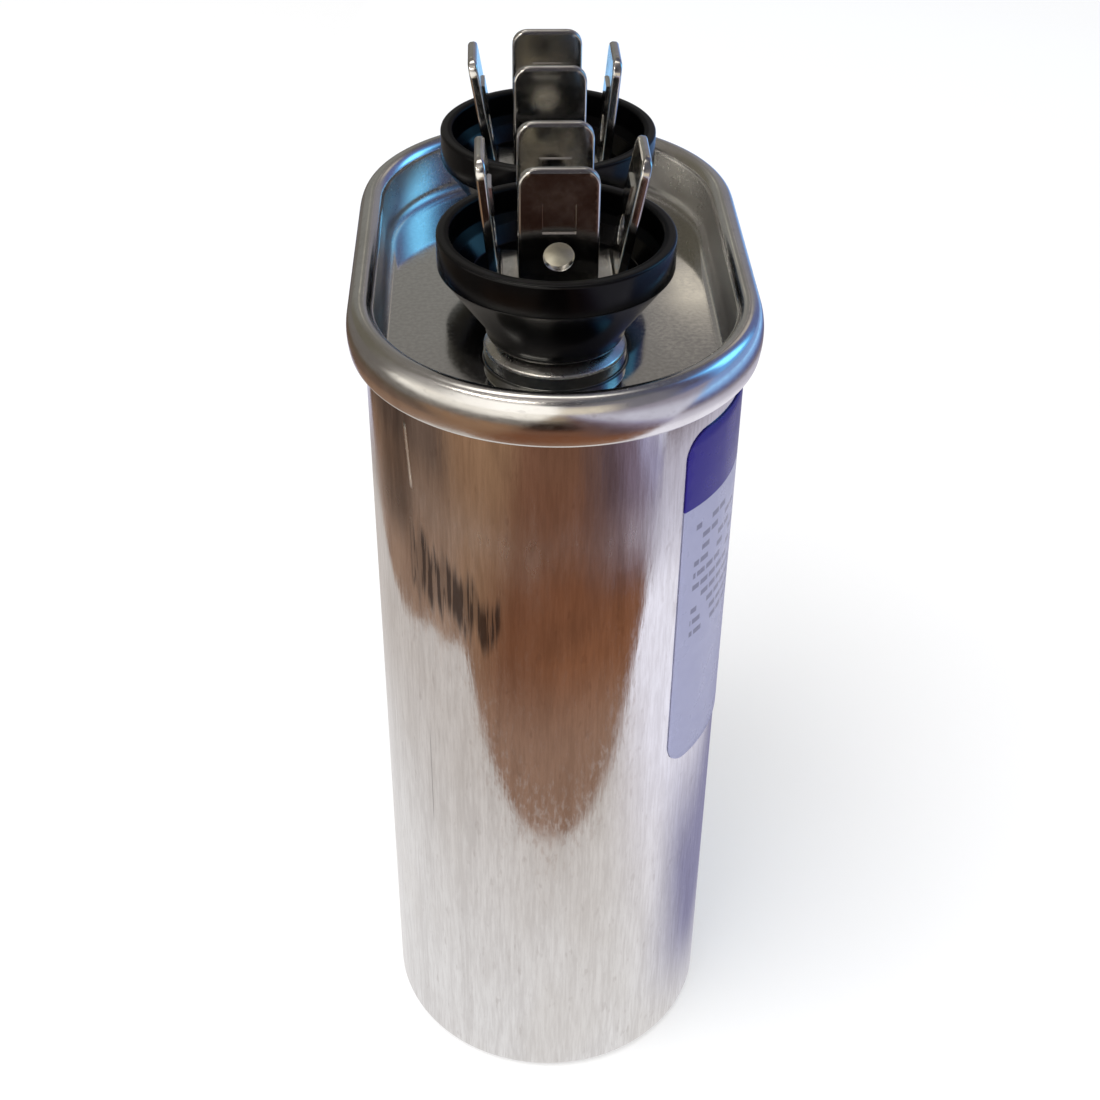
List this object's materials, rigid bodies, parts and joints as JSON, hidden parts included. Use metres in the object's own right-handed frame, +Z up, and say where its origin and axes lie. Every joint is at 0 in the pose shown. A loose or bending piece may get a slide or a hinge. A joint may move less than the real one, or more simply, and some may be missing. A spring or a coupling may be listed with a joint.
{
  "type": "motor run capacitor",
  "caption": "Oval motor run capacitor: drawn metal can with a rolled seam, recessed cover, black terminal cups and push-on blades.",
  "frame": {"origin": "centre of the bottom of the can", "axes": "+Z up through the terminals' tips, Y through both terminals, +X towards the side with the label"},
  "size_m": [0.035, 0.0548, 0.0958],
  "materials": {
    "can": "bright drawn aluminium with a fine upright grain, lightly scuffed",
    "cover": "bright rolled sheet, almost a mirror on the flat panel, satin on the seam",
    "cup": "black moulded thermoset, semi-gloss, charcoal where the rim is worn",
    "blade": "bright tin plate with rounded edges",
    "rivet": "tin plated steel",
    "gasket": "black moulded rubber",
    "washer": "natural nylon",
    "contact": "plain brass strip",
    "plate": "brown laminated phenolic",
    "lead": "tinned ribbon",
    "film": "metallised polypropylene film, seen from its edge",
    "core": "natural polypropylene",
    "spray": "rough sprayed zinc",
    "wrap": "natural polypropylene sheet",
    "pad": "pressed board",
    "label": "printed film label, lavender grey with a violet band, semi-gloss"
  },
  "bodies": {
    "root": {"can": "can", "cover": "cover", "cup_front": "cup", "cup_rear": "cup", "side_blades_front": "blade", "side_blades_rear": "blade", "cross_blades_front": "blade", "cross_blades_rear": "blade", "rivet_front": "rivet", "rivet_rear": "rivet", "gasket_front": "gasket", "gasket_rear": "gasket", "insulating_washer_front": "washer", "insulating_washer_rear": "washer", "contact_plate_front": "contact", "contact_plate_rear": "contact", "interrupter_plate": "plate", "short_lead": "lead", "long_lead": "lead", "winding": "film", "winding_core": "core", "end_spray_top": "spray", "end_spray_bottom": "spray", "insulating_wrap": "wrap", "bottom_insulator": "pad", "label": "label"}
  },
  "joints": []
}
